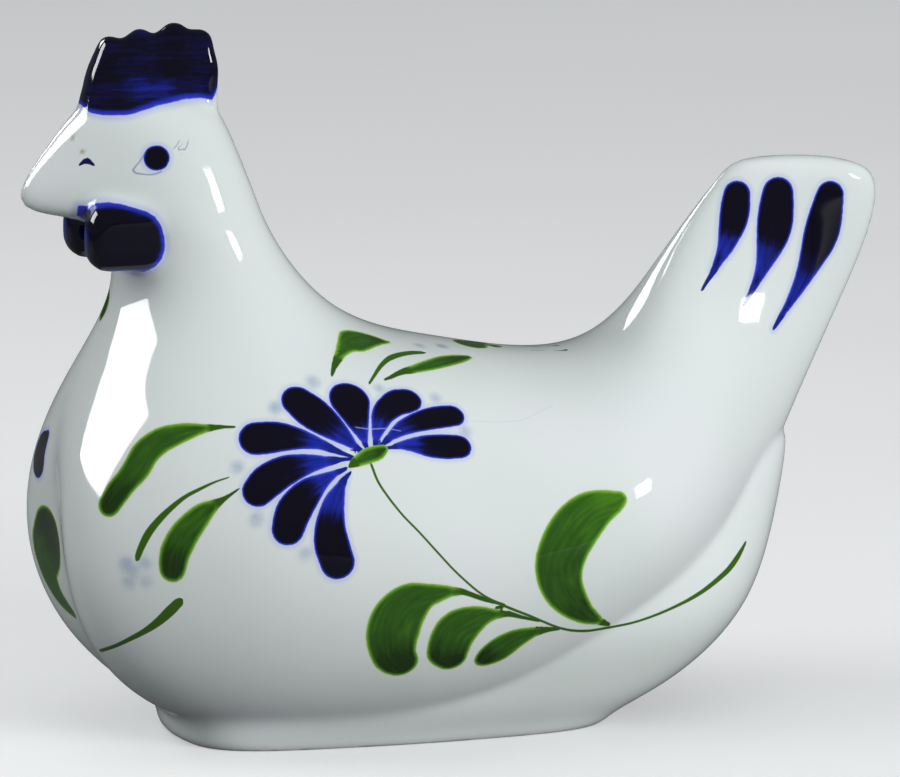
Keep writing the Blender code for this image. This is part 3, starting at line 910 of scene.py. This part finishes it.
def lined(under, name, ink, strength, fade=0.0):
    """Thin line, where the place across is less than the half width.

    Half way between two lines the place across also passes through 0, so only what is close to
    a line counts. With fade the line ends softly, over that share of its length.
    """
    source = add(nodes, "ShaderNodeAttribute", attribute_name=name)
    across, apart, half = add(nodes, "ShaderNodeSeparateColor", {"Color": source.outputs["Color"]}).outputs
    aside = add(nodes, MATH, {0: across}, operation="ABSOLUTE").outputs[0]
    past = add(nodes, MATH, {0: aside, 1: half}, operation="SUBTRACT").outputs[0]
    crisp = {"From Min": 0.14, "From Max": -0.1, "To Max": strength}
    cover = add(nodes, RANGE, {"Value": past, **crisp}, **SOFT).outputs[0]
    away = add(nodes, MATH, {0: apart, 1: half}, operation="SUBTRACT").outputs[0]
    close = add(nodes, RANGE, {"Value": away, "From Min": 0.6, "From Max": 0.45}).outputs[0]
    cover = add(nodes, MATH, {0: cover, 1: close}, operation="MULTIPLY").outputs[0]
    if fade:
        ending = {"Value": source.outputs["Alpha"], "From Min": 1.0, "From Max": 1.0 - fade}
        last = add(nodes, RANGE, ending).outputs[0]
        cover = add(nodes, MATH, {0: cover, 1: last}, operation="MULTIPLY").outputs[0]
    return add(nodes, MIX, {0: cover, 6: under, 7: linear(ink)}, data_type="RGBA").outputs[2]


# %% [markdown]
# ## Layer over layer
# The watery blue dabs and two specks of rust come first, then the halos, so that none of them pales
# the ink of a neighbour, then the inks and lines, and the bare clay of the foot last.

# %% Every layer
WATERY_BLUE, RUST, BARE_CLAY = "93A9C9", "A39A6C", "D8D2C6"
HALOS = {
    "cobalt_odd": ("B4C0F2", 1.5, 0.5),
    "cobalt_even": ("B4C0F2", 1.5, 0.5),
    "green": ("CFE3A4", 0.6, 0.4),
    "covered": ("AEBBF2", 1.8, 0.6),
}

marks = add(nodes, "ShaderNodeAttribute", attribute_name="marks").outputs["Color"]
dab, speck, bare_foot = add(nodes, "ShaderNodeSeparateColor", {"Color": marks}).outputs
watery = add(nodes, RANGE, {"Value": cloud, "From Min": 0.35, "From Max": 0.65, "To Min": 0.3, "To Max": 0.85})
pale = add(nodes, MATH, {0: dab, 1: watery.outputs[0]}, operation="MULTIPLY").outputs[0]
white = body.outputs["Color"]
colour = add(nodes, MIX, {0: pale, 6: white, 7: linear(WATERY_BLUE)}, data_type="RGBA").outputs[2]
colour = add(nodes, MIX, {0: speck, 6: colour, 7: linear(RUST)}, data_type="RGBA").outputs[2]
for name, (halo, width, strength) in HALOS.items():
    colour = bled(colour, name, halo, width, strength)
for name in ("cobalt_odd", "cobalt_even"):
    colour = painted(colour, name, COBALT, 0.8, 0.14)
for name in ("odd_tips", "even_tips"):
    colour = lined(colour, name, "182488", 1.0, fade=0.3)
colour = painted(colour, "green", GREEN, 1.1, 0.1)
colour = lined(colour, "green_tips", "345C12", 1.0, fade=0.2)
colour = lined(colour, "green_line", "3A6612", 1.0)
colour = lined(colour, "blue_line", "5A68B4", 0.6)
colour = lined(colour, "nostril", "141850", 1.0)
colour = lined(colour, "scratch", "C4CEEA", 0.4)
colour = painted(colour, "covered", COBALT, 1.7, 0.16)
colour = add(nodes, MIX, {0: bare_foot, 6: colour, 7: linear(BARE_CLAY)}, data_type="RGBA").outputs[2]
nodes.links.new(colour, shader.inputs["Base Color"])
print("attributes painted:", [layer.name for layer in hen.data.color_attributes])

# %% [markdown]
# The ground rim is bare, fired clay, which is matt. Everywhere else the glaze has a slow wave,
# about 15 mm long, that bends the reflections a little, as glass does that ran while it was hot.

# %% Glaze
matt = add(nodes, RANGE, {"Value": bare_foot, "To Min": GLAZE_ROUGHNESS, "To Max": 0.7}).outputs[0]
nodes.links.new(matt, shader.inputs["Roughness"])
swell = add(nodes, NOISE, {"Vector": where, "Scale": 65.0, "Detail": 1.0}).outputs["Fac"]
wave = add(nodes, "ShaderNodeBump", {"Height": swell, "Strength": 0.25, "Distance": 0.0006})
nodes.links.new(wave.outputs["Normal"], shader.inputs["Normal"])

hen.data.materials.clear()
hen.data.materials.append(porcelain)
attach(hen, "root")
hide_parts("hen")
print("nodes in the material:", len(nodes.nodes))

# %% [markdown]
# ## The table
# A plain pale table of matt paper in a pale room. To the camera the paper is pale, and a little of
# its own light keeps it so far from the lamps, while the shadow stays. For light that bounces, and
# in the glaze, it is darker, as the cloth was on which the hen was photographed: the underside
# stays dim and the cobalt deep. The room is dimmer in the glaze for the same reason.

# %% Floor and backdrop
TABLE_SIZE = 8.0
TABLE_FOR_BOUNCES = "5E6062"
TABLE_OWN_LIGHT = 0.3
ROOM_STRENGTH = 0.46
ROOM_IN_GLAZE = 0.1

bpy.ops.object.select_all(action="DESELECT")
bpy.ops.mesh.primitive_plane_add(size=TABLE_SIZE, location=(0, 0, 0))
floor = bpy.context.object
floor.name = floor.data.name = "table_top"
paper = bpy.data.materials.new("matt_pale_paper")
paper.use_nodes = True
sheet = paper.node_tree
matt_paper = sheet.nodes["Principled BSDF"].inputs
matt_paper["Roughness"].default_value = 0.8
matt_paper["Emission Color"].default_value = linear("F4F5F6")
# Faint clouds in the paper, a quarter of a metre across, keep it from looking like a screen
grain = add(sheet, NOISE, {"Scale": 30.0, "Detail": 2.0}).outputs["Fac"]
tint = add(sheet, "ShaderNodeValToRGB", {"Fac": grain}, stops=[(0.3, "E2E3E4"), (0.7, "E6E7E7")])
seen = add(sheet, "ShaderNodeLightPath").outputs["Is Camera Ray"]
shown = add(sheet, MIX, {0: seen, 6: linear(TABLE_FOR_BOUNCES), 7: tint.outputs["Color"]}, data_type="RGBA")
own_light = add(sheet, MATH, {0: seen, 1: TABLE_OWN_LIGHT}, operation="MULTIPLY")
sheet.links.new(shown.outputs[2], matt_paper["Base Color"])
sheet.links.new(own_light.outputs[0], matt_paper["Emission Strength"])
floor.data.materials.append(paper)

world = bpy.data.worlds.new("pale_room")
bpy.context.scene.world = world
world.use_nodes = True
sky = world.node_tree.nodes["Background"]
sky.inputs["Color"].default_value = linear("DADDDF")
in_glaze = add(world.node_tree, "ShaderNodeLightPath").outputs["Is Glossy Ray"]
strength = add(world.node_tree, RANGE, {"Value": in_glaze, "To Min": ROOM_STRENGTH, "To Max": ROOM_IN_GLAZE})
world.node_tree.links.new(strength.outputs[0], sky.inputs["Strength"])
print("table, m:", TABLE_SIZE, "room:", world.name)

# %% [markdown]
# ## The lamps
# They stand where the picture's highlights say that they stood: a large softbox in front of the
# breast, one further back beside it, whose edge lights the front of the tail, and a small one to
# the right, which makes the spots on the neck and the hip. What a lamp gives to the shading and
# what its face shows in the glaze are set apart: the lights are broad and dim, and the cards are
# bright, but only reflections see them. Directions are given as for the camera, in degrees.

# %% Lamps
LAMPS_AIM = Vector((0, 0, 0.07))


def softbox(name, azimuth, elevation, distance, size, watts, card=False):
    """Square lamp that looks at the hen. A card is seen by reflections alone."""
    a, e = math.radians(azimuth), math.radians(elevation)
    away = Vector((math.sin(a) * math.cos(e), -math.cos(a) * math.cos(e), math.sin(e)))
    data = bpy.data.lights.new(name, "AREA")
    data.shape, data.size, data.size_y = "RECTANGLE", size[0], size[1]
    data.energy = watts
    lamp = bpy.data.objects.new(name, data)
    lamp.location = LAMPS_AIM + away * distance
    lamp.rotation_mode = "QUATERNION"
    lamp.rotation_quaternion = (-away).to_track_quat("-Z", "Y")
    lamp.visible_diffuse = not card
    lamp.visible_glossy = card
    bpy.context.scene.collection.objects.link(lamp)


softbox("front_light", -98, 34, 1.0, (0.7, 0.6), 3.4)
softbox("side_light", 32, 14, 1.6, (0.9, 0.6), 19.0)
softbox("top_light", 0, 85, 1.2, (0.7, 0.7), 0.6)
softbox("front_card", -99, 31, 1.0, (0.62, 0.5), 9.5, card=True)
softbox("rear_card", -150, 27, 1.0, (0.3, 0.3), 2.4, card=True)
softbox("side_card", 50, 17, 1.1, (0.18, 0.16), 1.3, card=True)
print("lamps:", [lamp.name for lamp in bpy.data.lights])
